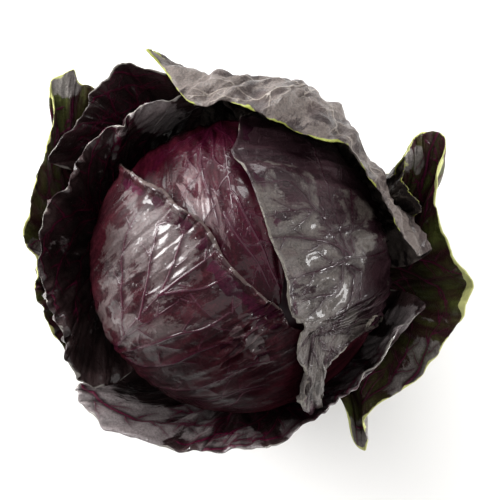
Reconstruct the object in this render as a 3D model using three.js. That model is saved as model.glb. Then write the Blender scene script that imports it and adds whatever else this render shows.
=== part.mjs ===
// A red cabbage head with its loose outer leaves, standing on its cut stem.
// Millimetres, +Z up. The origin is the middle of the stem's cut face.
// Seen from above, +X is to the right and +Y is up the page.
import * as THREE from "three";
import { mergeVertices } from "three/addons/utils/BufferGeometryUtils.js";

// The head: a ball a little flatter than it is wide, cut into facets
const headRadius = 73.4;
const flattening = 0.93;
const centreHeight = 88;
const headSides = 30;
const headRings = 15;

// The inner head's own leaves wrap it in turn: each stands a step proud of the one it covers
const wrapStep = 1.2;
const wrapRadius = headRadius - wrapStep;
const wrapTurn = 120;
const wrapTwist = 0.35;

// The stem, cut off flat below, its edges taken off a little
const stemRadius = 16;
const stemHeight = 20.9;
const stemEdge = 1.5;
const stemSides = 24;
const stemGap = 0.3;

// Leaves: thickness, where their stalks meet the stem, how wide a midrib's ridge is and how far
// along a leaf the narrow throat of a lobe lies
const headLeafThickness = 1.2;
const wrapperThickness = 1.4;
const stalkRadius = 17.4;
const ribReach = 7;
const throatShare = 0.8;
const usualSpread = 3;

const colours = {
  stem: 0xcfc9a8,
  innerHead: 0x5c1436,
  head: 0x4a1f2c,
  waxy: 0x66605c,
  lilac: 0x9a8d8e,
  purple: 0x35202a,
  green: 0x333a18,
};

const radians = THREE.MathUtils.degToRad;

// Every leaf lies on a map of directions from the head's middle: the top of the head is the
// map's centre, and a distance of 1 on it is a quarter turn down. A point on the map also has
// a distance from the head's middle.
function mapPoint(azimuth, elevation, distance) {
  const reach = (90 - elevation) / 90;
  const turn = radians(azimuth);
  return { x: reach * Math.cos(turn), y: reach * Math.sin(turn), distance };
}

function place(point) {
  const reach = Math.hypot(point.x, point.y);
  const fall = reach * Math.PI / 2;
  const across = reach < 1e-9 ? 0 : point.distance * Math.sin(fall) / reach;
  const up = flattening * point.distance * Math.cos(fall);
  return new THREE.Vector3(point.x * across, point.y * across, centreHeight + up);
}

// Three ways to say where a leaf's margin runs: by direction on the leaf's own layer, straight
// below a place seen from above, and by turn, radius and height where it stands free
function side(azimuth, elevation, lift = 0) {
  return (leaf) => mapPoint(azimuth, elevation, leaf.layer + lift);
}

function over(x, y, lift = 0, throat = null) {
  return (leaf) => {
    const distance = leaf.layer + lift;
    const elevation = Math.acos(Math.min(1, Math.hypot(x, y) / distance)) * 180 / Math.PI;
    const azimuth = Math.atan2(y, x) * 180 / Math.PI;
    const point = mapPoint(azimuth, elevation, distance);
    point.throat = throat ? over(...throat)(leaf) : null;
    return point;
  };
}

function rim(azimuth, radius, height, belly = 0) {
  return () => {
    const rise = (height - centreHeight) / flattening;
    const elevation = Math.atan2(rise, radius) * 180 / Math.PI;
    return { ...mapPoint(azimuth, elevation, Math.hypot(radius, rise)), belly };
  };
}

// The leaves, from the innermost out. layer is the distance from the head's middle at which a
// leaf hugs the head, stalk the turn of its stalk and span how far the stalk reaches round the
// stem. rows and step say how finely the leaf is cut into facets, along it and round its margin.
// ribHeight is the midrib's ridge on the outer face, and waves ruffle the leaf near its margin.
// A low spread lets the leaf leave the head early. The margin runs round the leaf, from one side
// of its stalk to the other; belly swells the leaf outward below that stretch of the margin. A
// lobe hangs on a narrow throat: its columns pass through the throat's points.
const leaves = [
  {
    name: "head_leaf_top",
    rows: 14,
    colour: colours.head,
    thickness: headLeafThickness,
    layer: 75.6,
    stalk: 95,
    span: 70,
    step: 16,
    margin: [
      side(52, -66), side(38, -45), side(25, -10), side(32, 30), over(27, 20), over(23, -4),
      over(20, -19), over(2, -11), over(-15, 8), over(-28, 20), over(-43, 33), side(143, 10),
      side(145, -30), side(134, -60),
    ],
  },
  {
    name: "head_leaf_left",
    rows: 14,
    colour: colours.head,
    thickness: headLeafThickness,
    layer: 77.6,
    stalk: 215,
    span: 76,
    step: 16,
    ribHeight: 1.4,
    margin: [
      side(168, -64), side(150, -42), side(140, -12, 0.6), side(139, 18, 1), over(-44, 41, 2),
      over(-34, 36, 2.4), over(-28, 29, 2.6), over(-18, 23, 2.2), over(-11, 15, 1.8), over(-6, 5, 1.6),
      over(4, -6, 1.6), over(14, -15, 1.4), over(21, -20, 1), over(26, -29, 0.4), over(38, -33),
      over(56, -42), side(-40, 2), side(-52, -38), side(-88, -66),
    ],
  },
  {
    name: "head_leaf_right",
    rows: 14,
    colour: colours.waxy,
    thickness: headLeafThickness,
    layer: 79.6,
    stalk: 0,
    span: 70,
    step: 15,
    ribHeight: 1.4,
    margin: [
      side(-44, -64), side(-46, -40), side(-40, -8, 0.4), over(64, -43, 0.8), over(54, -43, 1, [57, -40]),
      over(49, -46, 1, [51, -40]), over(46, -52, 1, [48, -39]), over(45.5, -60, 2, [44, -38.5]),
      over(45, -69, 4, [42, -38]), over(38, -77, 6.5, [40, -38]), over(32, -73, 5, [38, -37]),
      over(33, -60, 1.5, [35.5, -36.5]), over(33, -52, 1, [34, -36]), over(28, -44, 1.4, [32, -35]),
      over(30, -34, 1.6, [42, -31]), over(30, -25, 2, [49, -28]), over(24, -16, 2.4),
      over(23, -4, 2.4), over(18, 8, 2.2), over(14, 18, 1.8), over(9, 34, 1.6), over(3, 48, 1.8),
      over(-3, 55, 2), over(0, 63, 1), side(88, 18), side(78, -16), side(56, -52),
    ],
  },
  {
    name: "wrapper_left_inner",
    rows: 9,
    colour: colours.purple,
    thickness: wrapperThickness,
    layer: 83,
    stalk: 163,
    span: 64,
    step: 16,
    ribHeight: 2.6,
    waves: { height: 1.5, count: 5, start: 0.3 },
    margin: [
      side(122, -58), side(114, -38), side(106, -20, 1), rim(101, 87, 94), rim(103, 91, 106),
      rim(109, 93, 112), rim(119, 95, 117), rim(128, 92, 115), rim(133, 97, 110), rim(144, 100, 108),
      rim(152, 99, 113), rim(162, 101, 116), rim(173, 102, 110), rim(184, 102, 104),
      rim(193, 100, 105), rim(203, 101, 102), rim(216, 103, 92), rim(222, 97, 80),
      side(225, -20, 3), side(214, -50, 0.5),
    ],
  },
  {
    name: "wrapper_bottom",
    rows: 9,
    colour: colours.purple,
    thickness: wrapperThickness,
    layer: 85.5,
    stalk: 283,
    span: 66,
    step: 18,
    ribHeight: 2.8,
    waves: { height: 1.2, count: 7, start: 1.1 },
    margin: [
      side(234, -62, 0.5), side(222, -34, 3), rim(218, 102, 72), rim(217, 108, 84), rim(221, 113, 88),
      rim(230, 110, 95), rim(240, 105, 99), rim(253, 102, 96), rim(262, 101, 92), rim(274, 97, 96),
      rim(284, 93, 102), rim(298, 91, 99), rim(305, 89, 95), rim(313, 88, 98), rim(325, 88, 104),
      rim(336, 91, 101), rim(342, 95, 99), rim(348, 97, 104), side(351, -8, 3), side(346, -40, 1),
      side(326, -62),
    ],
  },
  {
    name: "wrapper_top",
    rows: 12,
    colour: colours.lilac,
    thickness: wrapperThickness,
    layer: 83,
    stalk: 58,
    span: 66,
    step: 16,
    ribHeight: 2.8,
    waves: { height: 0.8, count: 6, start: 2.2 },
    margin: [
      side(14, -62), side(3, -38), side(-1, -12, 1), rim(1, 93, 96), rim(5, 101, 108), rim(3, 95, 112),
      rim(9, 87, 116), rim(16, 83, 121), rim(23, 81, 126, 1), rim(33, 80, 127, 2), rim(46, 83, 133, 4),
      rim(55, 76, 140, 9), rim(69, 73, 139, 14), rim(78, 74, 142, 14), rim(85, 78, 140, 12),
      rim(93, 83, 135, 10), rim(101, 82, 134, 11), rim(107, 87, 130, 10), rim(109, 95, 122, 7),
      rim(111, 110, 112), rim(113, 122, 108, -9), rim(109, 109, 100), side(107, 1, 13),
      side(107, -22, 4), side(102, -44, 1), side(92, -64),
    ],
  },
  {
    name: "wrapper_left_middle",
    rows: 9,
    colour: colours.purple,
    thickness: wrapperThickness,
    layer: 88,
    stalk: 124,
    span: 36,
    step: 16,
    ribHeight: 2,
    waves: { height: 1, count: 4, start: 0.6 },
    margin: [
      side(112, -58), side(109, -32), side(109, -10, 8), rim(111, 109, 89), rim(116, 117, 94),
      rim(120, 123, 97), rim(125, 120, 95), rim(131, 118, 95), rim(134, 116, 95), rim(139, 114, 95),
      rim(145, 115, 95), rim(151, 114, 90), side(148, -16, 8), side(143, -42), side(136, -62),
    ],
  },
  {
    name: "wrapper_right_inner",
    rows: 9,
    colour: colours.lilac,
    thickness: wrapperThickness,
    layer: 88.2,
    stalk: 22,
    span: 36,
    step: 16,
    margin: [
      side(8, -62), side(8, -36), side(15, -8, 8), rim(16, 99, 97), rim(17, 100, 103), rim(20, 99, 104),
      rim(24, 97, 104), rim(27, 97, 104), rim(30, 100, 104), rim(33, 103, 105), rim(32, 98, 102),
      rim(30, 95, 96), side(31, -10, 5), side(35, -38), side(33, -62),
    ],
  },
  {
    name: "wrapper_left_outer",
    rows: 9,
    colour: colours.green,
    thickness: wrapperThickness,
    layer: 90.5,
    stalk: 180,
    span: 52,
    step: 18,
    ribHeight: 2.4,
    spread: 2.6,
    waves: { height: 1.6, count: 5, start: 1.7 },
    margin: [
      side(150, -62, 0.3), side(139, -42, 4), side(131, -20, 22), rim(129, 123, 81), rim(131, 128, 86),
      rim(130, 134, 92), rim(135, 139, 90), rim(140, 130, 86), rim(149, 121, 84), rim(157, 115, 90),
      rim(166, 113, 95), rim(174, 113, 92), rim(179, 109, 86), rim(186, 110, 84), rim(191, 107, 87),
      rim(196, 105, 84), rim(205, 105, 76), rim(216, 107, 68), side(216, -34, 7), side(205, -62),
    ],
  },
  {
    name: "wrapper_right_outer",
    rows: 9,
    colour: colours.green,
    thickness: wrapperThickness,
    layer: 90.5,
    stalk: -10,
    span: 62,
    step: 18,
    ribHeight: 2.4,
    spread: 2.6,
    waves: { height: 1.2, count: 5, start: 0.4 },
    margin: [
      side(-40, -62), side(-52, -40, 3), rim(-53, 97, 58), rim(-57, 116, 56), rim(-56, 124, 58),
      rim(-54, 122, 61), rim(-51, 110, 64), rim(-40, 112, 70), rim(-31, 115, 75), rim(-18, 119, 82),
      rim(-12, 124, 86), rim(-5, 126, 94), rim(0, 118, 94), rim(7, 111, 93), rim(17, 108, 92),
      rim(24, 115, 96), rim(32, 127, 102), rim(35, 124, 102), rim(36, 116, 101), rim(35, 109, 99),
      rim(33, 103, 96), rim(31, 101, 87), side(32, -18, 6), side(34, -44, 1), side(24, -62),
    ],
  },
];

// A leaf's columns run from its stalk to its margin, evenly along each stretch of the margin
function columnsOf(leaf) {
  const points = leaf.margin.map((point) => point(leaf));
  const curve = new THREE.CatmullRomCurve3(
    points.map((p) => new THREE.Vector3(p.x, p.y, p.distance / leaf.layer)),
    false,
    "centripetal",
  );
  const columns = [];
  const last = points.length - 1;
  for (let i = 0; i < last; i += 1) {
    const length = place(points[i]).distanceTo(place(points[i + 1]));
    const count = Math.max(1, Math.round(length / leaf.step));
    const stops = i === last - 1 ? count : count - 1;
    for (let k = 0; k <= stops; k += 1) {
      const at = curve.getPoint((i + k / count) / last);
      const belly = THREE.MathUtils.lerp(points[i].belly ?? 0, points[i + 1].belly ?? 0, k / count);
      const ends = [points[i].throat, points[i + 1].throat];
      columns.push({ x: at.x, y: at.y, distance: at.z * leaf.layer, belly, ends, part: k / count });
    }
  }
  const footFall = -Math.acos(stalkRadius / leaf.layer) * 180 / Math.PI;
  columns.forEach((column, index) => {
    column.share = index / (columns.length - 1);
    column.foot = mapPoint(leaf.stalk + leaf.span * (column.share - 0.5), footFall, leaf.layer);
    column.throat = throatOf(column);
  });
  return columns;
}

function between(from, to, share) {
  return {
    x: THREE.MathUtils.lerp(from.x, to.x, share),
    y: THREE.MathUtils.lerp(from.y, to.y, share),
  };
}

function throatOf(column) {
  const straight = between(column.foot, column, throatShare);
  const [before, after] = column.ends.map((throat) => throat ?? straight);
  return between(before, after, column.part);
}

// A point of the leaf's middle sheet: share runs from stalk to margin
function sheetPoint(leaf, column, share) {
  const flat = share < throatShare
    ? between(column.foot, column.throat, share / throatShare)
    : between(column.throat, column, (share - throatShare) / (1 - throatShare));
  let distance = leaf.layer + (column.distance - leaf.layer) * share ** (leaf.spread ?? usualSpread);
  distance += column.belly * Math.sin(Math.PI * share ** 3);
  if (leaf.waves) {
    const { height, count, start } = leaf.waves;
    distance += height * share ** 4 * Math.sin(2 * Math.PI * (count * column.share + start));
  }
  return place({ ...flat, distance });
}

// A closed sheet: both faces share their places and their diagonals, so they never cross
function leafGeometry(leaf) {
  const columns = columnsOf(leaf);
  const rows = leaf.rows;
  const sheet = columns.map((column) => (
    Array.from({ length: rows + 1 }, (_, row) => sheetPoint(leaf, column, row / rows))
  ));
  const last = columns.length - 1;
  const spine = sheet[Math.round(last / 2)];
  const vertices = [];
  const across = new THREE.Vector3();
  const along = new THREE.Vector3();
  for (let i = 0; i <= last; i += 1) {
    for (let j = 0; j <= rows; j += 1) {
      across.subVectors(sheet[Math.min(i + 1, last)][j], sheet[Math.max(i - 1, 0)][j]);
      along.subVectors(sheet[i][Math.min(j + 1, rows)], sheet[i][Math.max(j - 1, 0)]);
      const normal = across.clone().cross(along).normalize();
      const point = sheet[i][j];
      const fade = 1 - j / rows;
      const rib = (leaf.ribHeight ?? 0) * fade * Math.exp(-((point.distanceTo(spine[j]) / ribReach) ** 2));
      const inner = point.clone().addScaledVector(normal, -leaf.thickness / 2);
      const outer = point.clone().addScaledVector(normal, leaf.thickness / 2 + rib);
      vertices.push(inner, outer);
    }
  }
  const index = (i, j, face) => 2 * (i * (rows + 1) + j) + face;
  const triangles = [];
  const wall = (a, b, c, d) => triangles.push(a, b, c, a, c, d);
  for (let i = 0; i < last; i += 1) {
    for (let j = 0; j < rows; j += 1) {
      wall(index(i, j, 1), index(i + 1, j, 1), index(i + 1, j + 1, 1), index(i, j + 1, 1));
      triangles.push(index(i, j, 0), index(i + 1, j + 1, 0), index(i + 1, j, 0));
      triangles.push(index(i, j, 0), index(i, j + 1, 0), index(i + 1, j + 1, 0));
    }
    wall(index(i, 0, 0), index(i + 1, 0, 0), index(i + 1, 0, 1), index(i, 0, 1));
    wall(index(i, rows, 1), index(i + 1, rows, 1), index(i + 1, rows, 0), index(i, rows, 0));
  }
  for (let j = 0; j < rows; j += 1) {
    wall(index(0, j, 0), index(0, j, 1), index(0, j + 1, 1), index(0, j + 1, 0));
    wall(index(last, j, 1), index(last, j, 0), index(last, j + 1, 0), index(last, j + 1, 1));
  }
  const geometry = new THREE.BufferGeometry();
  const positions = vertices.flatMap((v) => [v.x, v.y, v.z]);
  geometry.setAttribute("position", new THREE.Float32BufferAttribute(positions, 3));
  geometry.setIndex(triangles);
  geometry.computeVertexNormals();
  return geometry;
}

// The tightly packed inner head: a ball cut flat where it meets the stem
function innerHeadGeometry() {
  const bottom = stemHeight + stemGap;
  const flatAngle = Math.acos((stemRadius - stemEdge) / wrapRadius);
  const profile = [new THREE.Vector2(0, bottom), new THREE.Vector2(stemRadius - stemEdge, bottom)];
  for (let i = 1; i < headRings; i += 1) {
    const angle = THREE.MathUtils.lerp(-flatAngle, Math.PI / 2, i / headRings);
    const height = centreHeight + flattening * wrapRadius * Math.sin(angle);
    profile.push(new THREE.Vector2(wrapRadius * Math.cos(angle), height));
  }
  profile.push(new THREE.Vector2(0, centreHeight + flattening * wrapRadius));
  const geometry = turned(profile, headSides);
  const position = geometry.attributes.position;
  const point = new THREE.Vector3();
  for (let i = 0; i < position.count; i += 1) {
    point.fromBufferAttribute(position, i);
    if (point.z > bottom + stemGap) position.setXYZ(i, ...wrapped(point));
  }
  geometry.computeVertexNormals();
  return geometry;
}

// Each of the inner head's leaves rises with the turn and ends in a step, less so at the poles
function wrapped(point) {
  const up = point.z - centreHeight;
  const turn = Math.atan2(point.y, point.x) * 180 / Math.PI + wrapTwist * up;
  const lift = wrapStep * THREE.MathUtils.euclideanModulo(turn / wrapTurn, 1);
  const fade = Math.cos(Math.PI / 2 * up / centreHeight);
  const scale = 1 + lift * fade / wrapRadius;
  return [point.x * scale, point.y * scale, centreHeight + up * scale];
}

function stemGeometry() {
  return turned([
    new THREE.Vector2(0, 0),
    new THREE.Vector2(stemRadius - stemEdge, 0),
    new THREE.Vector2(stemRadius, stemEdge),
    new THREE.Vector2(stemRadius, stemHeight - stemEdge),
    new THREE.Vector2(stemRadius - stemEdge, stemHeight),
    new THREE.Vector2(0, stemHeight),
  ], stemSides);
}

function turned(profile, sides) {
  const geometry = new THREE.LatheGeometry(profile, sides).rotateX(Math.PI / 2);
  geometry.deleteAttribute("normal");
  geometry.deleteAttribute("uv");
  const merged = mergeVertices(geometry, 1e-4);
  merged.computeVertexNormals();
  return merged;
}

function piece(name, geometry, colour, roughness) {
  const material = new THREE.MeshStandardMaterial({ color: colour, roughness, metalness: 0 });
  const mesh = new THREE.Mesh(geometry, material);
  mesh.name = name;
  return mesh;
}

const cabbage = new THREE.Group();
cabbage.add(piece("stem", stemGeometry(), colours.stem, 0.7));
cabbage.add(piece("inner_head", innerHeadGeometry(), colours.innerHead, 0.45));
for (const leaf of leaves) {
  cabbage.add(piece(leaf.name, leafGeometry(leaf), leaf.colour, 0.45));
}

export default cabbage;
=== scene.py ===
# A red cabbage head, standing on its cut stem, seen from straight above.
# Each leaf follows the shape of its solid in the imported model, cut far finer, with its veins,
# puckers, rolled rims and waxy bloom. Shapes are worked out in millimetres and made in metres.
import math
from functools import partial

import bmesh
import bpy
import numpy as np
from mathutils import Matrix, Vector


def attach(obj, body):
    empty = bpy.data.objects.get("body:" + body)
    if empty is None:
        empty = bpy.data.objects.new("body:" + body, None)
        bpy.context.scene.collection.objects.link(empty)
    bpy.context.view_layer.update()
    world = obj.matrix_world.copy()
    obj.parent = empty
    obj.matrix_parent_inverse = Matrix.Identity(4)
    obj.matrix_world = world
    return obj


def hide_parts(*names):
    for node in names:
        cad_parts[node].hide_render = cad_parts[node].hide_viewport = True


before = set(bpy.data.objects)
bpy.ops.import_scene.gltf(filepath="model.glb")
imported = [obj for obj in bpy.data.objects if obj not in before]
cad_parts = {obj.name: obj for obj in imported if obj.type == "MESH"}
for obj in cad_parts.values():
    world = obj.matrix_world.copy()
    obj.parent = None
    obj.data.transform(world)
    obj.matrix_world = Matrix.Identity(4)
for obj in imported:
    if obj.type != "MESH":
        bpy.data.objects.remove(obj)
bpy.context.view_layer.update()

metres = 0.001

# The head's shape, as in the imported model
head = {
    "centreHeight": 88.0,
    "flattening": 0.93,
    "stalkRadius": 17.4,
    "throatShare": 0.8,
    "usualSpread": 3.0,
    "ribReach": 7.0,
}

# How every leaf is cut and worked, unless its own settings say otherwise; lengths in millimetres
cutting = {
    "step": 16,
    "thickness": 1.0,
    "fineRows": 240,
    "rowCrowding": 1.25,
    "lowMargin": 70.0,
    "lowShare": 0.4,
    "nibble": 0.25,
    "nibbleCounts": (31, 47, 71, 113),
    "veinStep": 0.6,
    "marginReach": 45,
    "farthest": 40,
    "veinReach": 8,
    "veinWidth": 2.2,
    "veinTaper": 0.55,
    "leastRib": 1.1,
    "besideVein": 4.0,
    "farFromVein": 20.0,
    "strandWidth": 0.8,
    "calmRim": 6,
    "roundRim": 2.5,
    "rimThickness": 0.25,
    "crimpSize": 5,
    "crimpReach": 7,
    "curlCounts": (9, 17, 29, 53),
    "rippleWaves": 28,
    "bead": (0.2, 1),
    "quilt": (0.6, 7),
    "waxElsewhere": 0.3,
}

# The camera looks straight down; its distance is from the head's middle
camera = {
    "x": 6.4,
    "y": 8.0,
    "distance": 740.0,
    "lens": 100.0,
    "sensor": 36.0,
}


# A leaf lies on a map of directions from the head's middle: the map's centre is the top of the
# head, and a distance of 1 on it is a quarter turn down
def mapPoint(azimuth, elevation, distance):
    reach = (90 - elevation) / 90
    turn = math.radians(azimuth)
    return np.array([reach * math.cos(turn), reach * math.sin(turn), distance])


def place(x, y, distance):
    reach = np.hypot(x, y)
    fall = reach * math.pi / 2
    across = distance * np.sin(fall) / np.maximum(reach, 1e-9)
    up = head["flattening"] * distance * np.cos(fall)
    return np.stack([x * across, y * across, head["centreHeight"] + up], axis=-1)


# Three ways to say where a margin runs: by direction, by place seen from above, and by turn,
# radius and height where the leaf stands free
def side(azimuth, elevation, lift=0):
    return lambda layer: {"at": mapPoint(azimuth, elevation, layer + lift)}


def over(x, y, lift=0, throat=None):
    def point(layer):
        distance = layer + lift
        elevation = math.degrees(math.acos(min(1, math.hypot(x, y) / distance)))
        azimuth = math.degrees(math.atan2(y, x))
        found = {"at": mapPoint(azimuth, elevation, distance)}
        if throat:
            found["throat"] = over(*throat)(layer)["at"][:2]
        return found
    return point


def rim(azimuth, radius, height, belly=0):
    rise = (height - head["centreHeight"]) / head["flattening"]
    elevation = math.degrees(math.atan2(rise, radius))
    return lambda layer: {
        "at": mapPoint(azimuth, elevation, math.hypot(radius, rise)),
        "belly": belly,
    }


# A centripetal Catmull-Rom curve through the margin's points, read at positions in segments
def alongCurve(points, position):
    ends = [2 * points[0] - points[1]], [2 * points[-1] - points[-2]]
    allPoints = np.concatenate([ends[0], points, ends[1]])
    first = np.clip(position.astype(int), 0, len(points) - 2)
    part = (position - first)[:, None]
    p0, p1, p2, p3 = (allPoints[first + i] for i in range(4))
    pairs = ((p0, p1), (p1, p2), (p2, p3))
    d0, d1, d2 = (np.sum((b - a) ** 2, axis=1, keepdims=True) ** 0.25 for a, b in pairs)
    t1 = ((p1 - p0) / d0 - (p2 - p0) / (d0 + d1) + (p2 - p1) / d1) * d1
    t2 = ((p2 - p1) / d1 - (p3 - p1) / (d1 + d2) + (p3 - p2) / d2) * d1
    cubic = 2 * p1 - 2 * p2 + t1 + t2
    square = -3 * p1 + 3 * p2 - 2 * t1 - t2
    return ((cubic * part + square) * part + t1) * part + p1


# A leaf's columns, each from its foot at the stem, through a throat, to the margin
def columnsOf(leaf, count):
    points = [point(leaf["layer"]) for point in leaf["margin"]]
    ats = np.array([point["at"] for point in points])
    lengths = np.linalg.norm(np.diff(place(*ats.T), axis=0), axis=1)
    cuts = np.maximum(1, np.round(lengths / leaf.get("step", cutting["step"])))
    stops = np.concatenate([[0], np.cumsum(cuts)]) / cuts.sum()
    # fewer columns where the margin is low down, out of sight
    height = place(*ats.T)[:, 2]
    isLow = height[:-1] + height[1:] < 2 * cutting["lowMargin"]
    weights = cuts * np.where(isLow, cutting["lowShare"], 1.0)
    spread = np.concatenate([[0], np.cumsum(weights)]) / weights.sum()
    share = np.interp(np.linspace(0, 1, count + 1), spread, stops)
    position = np.interp(share, stops, np.arange(len(stops)))
    scaled = ats / [1, 1, leaf["layer"]]
    edge = alongCurve(scaled, position) * [1, 1, leaf["layer"]]
    nibble = cutting["nibble"] * wander(share, cutting["nibbleCounts"], leaf["seed"] + 5)
    edge[:, :2] *= (1 + nibble / (leaf["layer"] * 2))[:, None]
    edge[:, 2] += 0.6 * nibble
    belly = np.interp(position, np.arange(len(stops)), [point.get("belly", 0) for point in points])
    footFall = -math.degrees(math.acos(head["stalkRadius"] / leaf["layer"]))
    turns = leaf["stalk"] + leaf["span"] * (share - 0.5)
    foot = np.array([mapPoint(turn, footFall, leaf["layer"])[:2] for turn in turns])
    straight = foot + (edge[:, :2] - foot) * head["throatShare"]
    narrow = np.array([point.get("throat", (np.nan, np.nan)) for point in points])
    first = np.clip(position.astype(int), 0, len(points) - 2)
    part = (position - first)[:, None]
    before = np.where(np.isnan(narrow[first]), straight, narrow[first])
    after = np.where(np.isnan(narrow[first + 1]), straight, narrow[first + 1])
    return {
        "share": share,
        "position": position,
        "edge": edge,
        "belly": belly,
        "foot": foot,
        "throat": before + (after - before) * part,
    }


# Smooth random relief: many waves with seeded directions, about size mm from crest to crest
def ripple(points, size, seed, stretch):
    draw = np.random.RandomState(seed)
    waves = cutting["rippleWaves"]
    ways = draw.normal(size=(waves, 3))
    ways /= np.linalg.norm(ways, axis=1, keepdims=True)
    rates = 2 * math.pi / (size * draw.uniform(0.7, 1.6, waves))
    phases = draw.uniform(0, 2 * math.pi, waves)
    turns = (points * np.array(stretch)) @ (ways * rates[:, None]).T + phases
    return np.sin(turns).sum(axis=-1) / math.sqrt(waves / 2)


# A smooth random wandering along the margin, made of whole numbers of waves
def wander(share, counts, seed):
    draw = np.random.RandomState(seed)
    total = np.zeros_like(share)
    for count in counts:
        turns = count * share + draw.uniform()
        total += math.sqrt(counts[0] / count) * np.sin(2 * math.pi * turns)
    return total


# The leaf's middle sheet for every column and for rows at the given shares of the way
def sheetOf(leaf, columns, along):
    v = along[None, :]
    neck = head["throatShare"]
    lower = np.clip(v / neck, 0, 1)[..., None]
    upper = np.clip((v - neck) / (1 - neck), 0, 1)[..., None]
    foot, throat = columns["foot"][:, None], columns["throat"][:, None]
    edge = columns["edge"][:, None]
    flat = foot + (throat - foot) * lower + (edge[..., :2] - throat) * upper
    lip, lipPower = leaf.get("lip", (0, 1))
    profile = (1 - lip) * v ** leaf.get("spread", head["usualSpread"]) + lip * v ** lipPower
    distance = leaf["layer"] + (edge[..., 2] - leaf["layer"]) * profile
    distance = distance + columns["belly"][:, None] * np.sin(math.pi * v ** 3)
    share = columns["share"][:, None]
    if "waves" in leaf:
        height, count, start = leaf["waves"]
        distance = distance + height * v ** 4 * np.sin(2 * math.pi * (count * share + start))
    if "ruffle" in leaf:
        height, counts, seed = leaf["ruffle"]
        distance = distance + height * v ** 7 * wander(share, counts, seed)
    return place(flat[..., 0], flat[..., 1], distance)


def normalsOf(sheet):
    across = np.gradient(sheet, axis=0)
    upward = np.gradient(sheet, axis=1)
    normal = np.cross(across, upward)
    return normal / np.maximum(np.linalg.norm(normal, axis=-1, keepdims=True), 1e-9)


# Distance from each point to the nearest of a line's points, and which one it is. Points that are
# farther than reach from the line's box are left out
def nearest(points, line, reach):
    found = np.full(len(points), 1e9)
    index = np.zeros(len(points), int)
    low, high = line.min(axis=0) - reach, line.max(axis=0) + reach
    near = np.flatnonzero(np.all((points > low) & (points < high), axis=1))
    for chunk in np.array_split(near, max(1, len(near) * len(line) // 4_000_000)):
        if len(chunk):
            gap = np.linalg.norm(points[chunk, None] - line[None], axis=-1)
            index[chunk] = gap.argmin(axis=1)
            found[chunk] = gap.min(axis=1)
    return found, index


# Where the camera sees each point, laid down on the level of the head's middle
def seenFromAbove(points):
    scale = camera["distance"] / (camera["distance"] - (points[..., 2] - head["centreHeight"]))
    x = camera["x"] + (points[..., 0] - camera["x"]) * scale
    y = camera["y"] + (points[..., 1] - camera["y"]) * scale
    return x, y


# A place between the sheet's grid points
def onSheet(sheet, path):
    last = np.array(sheet.shape[:2]) - 1
    path = np.clip(path, 0, last)
    low = np.minimum(path.astype(int), last - 1)
    i, j = low[..., 0], low[..., 1]
    a, b = (path - low)[..., :1], (path - low)[..., 1:]
    return (sheet[i, j] * (1 - a) * (1 - b) + sheet[i + 1, j] * a * (1 - b)
            + sheet[i, j + 1] * (1 - a) * b + sheet[i + 1, j + 1] * a * b)


# A vein's way over the sheet: given by where it is seen from above, or as shares of the leaf
def veinPath(sheet, vein):
    x, y = seenFromAbove(sheet)
    last = np.array(sheet.shape[:2]) - 1
    stops = []
    for point in vein["points"]:
        if vein.get("onLeaf"):
            stops.append(np.array(point) * last)
            continue
        away = np.hypot(x - point[0], y - point[1])
        close = away < away.min() + 1.5
        height = np.where(close, sheet[..., 2] - 2 * away, -1e9)
        stops.append(np.array(np.unravel_index(height.argmax(), height.shape), float))
    if vein.get("root"):
        stops.insert(0, np.array([stops[0][0], 0.0]))
    stops = np.array(stops)
    length = np.linalg.norm(np.diff(onSheet(sheet, stops), axis=0), axis=1)
    steps = np.concatenate([[0], np.cumsum(length + 1e-6)])
    travelled = np.arange(0, steps[-1], cutting["veinStep"])
    return alongCurve(stops, np.interp(travelled, steps, np.arange(len(stops))))


# Lets a branch grow over the sheet from a place on it, bending as it goes
def branchPath(sheet, slopes, start, heading, length, bend):
    last = np.array(sheet.shape[:2]) - 1
    here, way, path = np.array(start, float), heading, [np.array(start, float)]
    for _ in range(int(length / cutting["veinStep"])):
        i, j = np.clip(np.rint(here), 0, last).astype(int)
        across, upward = slopes[0][i, j], slopes[1][i, j]
        normal = np.cross(across, upward)
        normal /= np.linalg.norm(normal)
        way = way - normal * (way @ normal)
        way /= np.linalg.norm(way)
        way = way * math.cos(bend) + np.cross(normal, way) * math.sin(bend)
        metric = [[across @ across, across @ upward], [across @ upward, upward @ upward]]
        stride = np.linalg.solve(metric, [across @ way, upward @ way])
        here = here + stride * cutting["veinStep"]
        if np.any(here < 1) or np.any(here > last - 1):
            break
        path.append(here)
    return np.array(path)


# Veins branch, and branches carry twigs; lengths in millimetres, angles in degrees
branching = {
    "every": (8, 14),
    "angle": (38, 62),
    "length": (9, 24),
    "twigLength": (4, 9),
    "thinner": 0.62,
    "firstAfter": 0.6,
    "veinSpacing": 0.75,
    "branchSpacing": 0.6,
    "bareTip": 3,
    "fewestPoints": 12,
    "fewestSteps": 4,
    "shorterAtTip": 0.4,
    "bend": 1.6,
    "midrib": {"width": 3.0, "height": 0.6, "reach": 0.9},
}


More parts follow.
